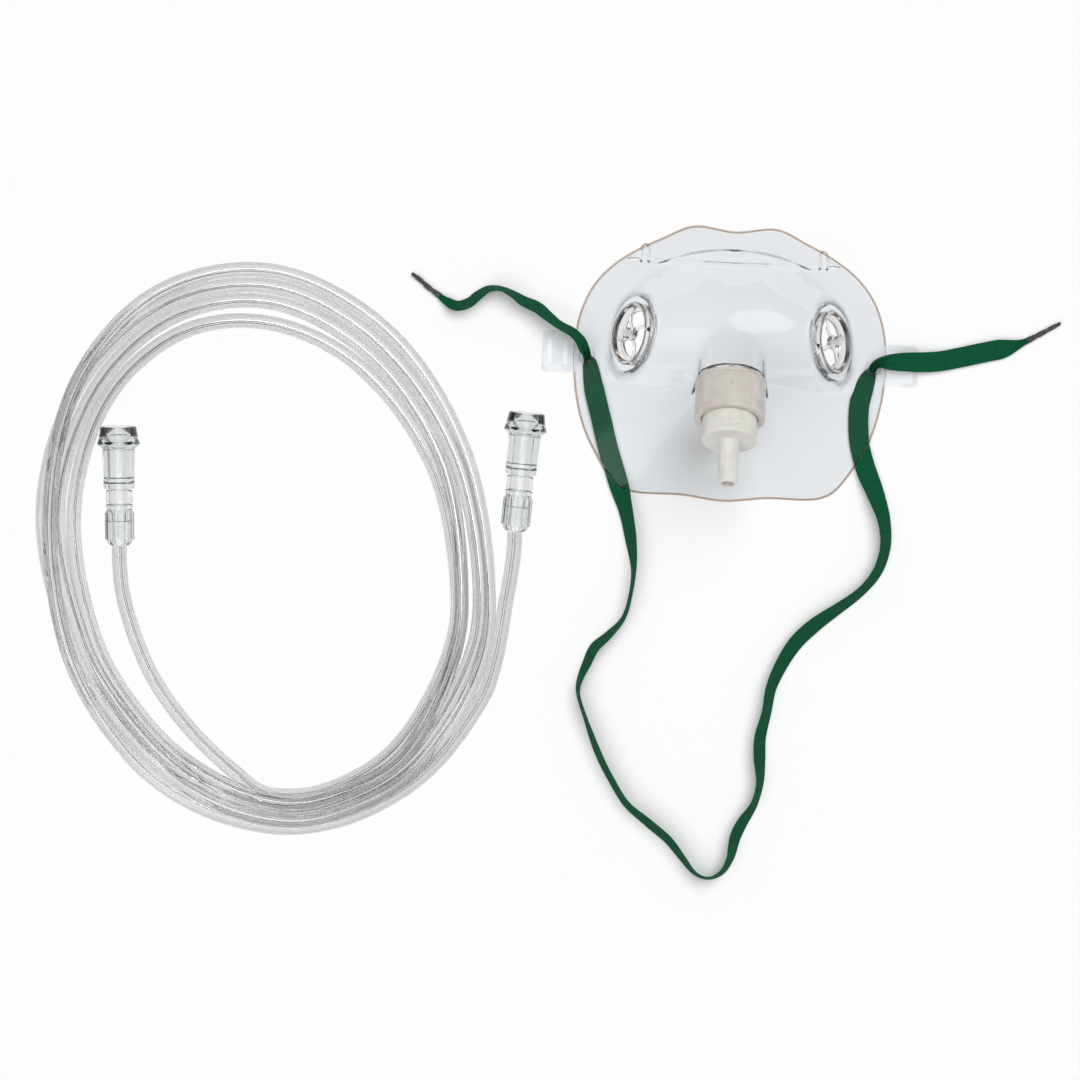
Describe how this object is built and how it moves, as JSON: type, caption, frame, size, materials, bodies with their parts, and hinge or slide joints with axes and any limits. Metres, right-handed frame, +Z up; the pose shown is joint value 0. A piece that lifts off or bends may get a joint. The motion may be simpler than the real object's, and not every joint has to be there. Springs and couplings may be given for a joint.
{
  "type": "oxygen face mask with supply tubing",
  "caption": "Clear oxygen face mask with swivel inlet, elastic head strap and a loose coil of supply tubing with a push-on connector on each end.",
  "frame": {"origin": "middle of the mask's rim, on the table it rests on", "axes": "+X to the right across the cheeks, +Y towards the nose, +Z up from the table, out of the face"},
  "size_m": [0.4067, 0.2614, 0.0568],
  "materials": {
    "clear_pvc": "clear soft vinyl, smooth",
    "port_clear": "clear moulded plastic",
    "collar_plastic": "natural satin plastic",
    "adapter_plastic": "natural satin plastic",
    "strap_elastic": "woven green elastic",
    "strap_tip": "dark heat-sealed tip",
    "tube_clear": "clear flexible tube",
    "connector_clear": "clear soft moulded vinyl"
  },
  "bodies": {
    "mask": {"mask_shell": "clear_pvc", "exhalation_port_left": "port_clear", "exhalation_port_right": "port_clear", "head_strap": "strap_elastic", "strap_bunch_left": "strap_elastic", "strap_bunch_right": "strap_elastic", "strap_end_left": "strap_elastic", "strap_end_right": "strap_elastic", "strap_tip_left": "strap_tip", "strap_tip_right": "strap_tip"},
    "collar": {"swivel_collar": "collar_plastic"},
    "adapter": {"inlet_adapter": "adapter_plastic"},
    "tubing": {"tubing_coil": "tube_clear", "tubing_tail_patient": "tube_clear", "tubing_tail_supply": "tube_clear", "patient_cuff": "connector_clear", "patient_sleeve": "connector_clear", "patient_socket": "connector_clear", "supply_cuff": "connector_clear", "supply_sleeve": "connector_clear", "supply_socket": "connector_clear"}
  },
  "joints": [
    {"name": "collar_swivel", "type": "hinge", "parent": "mask", "child": "collar", "pos_m": [0, -0.0074, 0.0346], "axis": [0, -0.9063, 0.4226], "continuous": true},
    {"name": "adapter_pull", "type": "slide", "parent": "collar", "child": "adapter", "axis": [0, -0.9063, 0.4226], "range_m": [0, 0.02]},
    {"name": "tubing_lift", "type": "slide", "parent": "mask", "child": "tubing", "axis": [0, 0, 1], "range_m": [0, 0.1]}
  ]
}
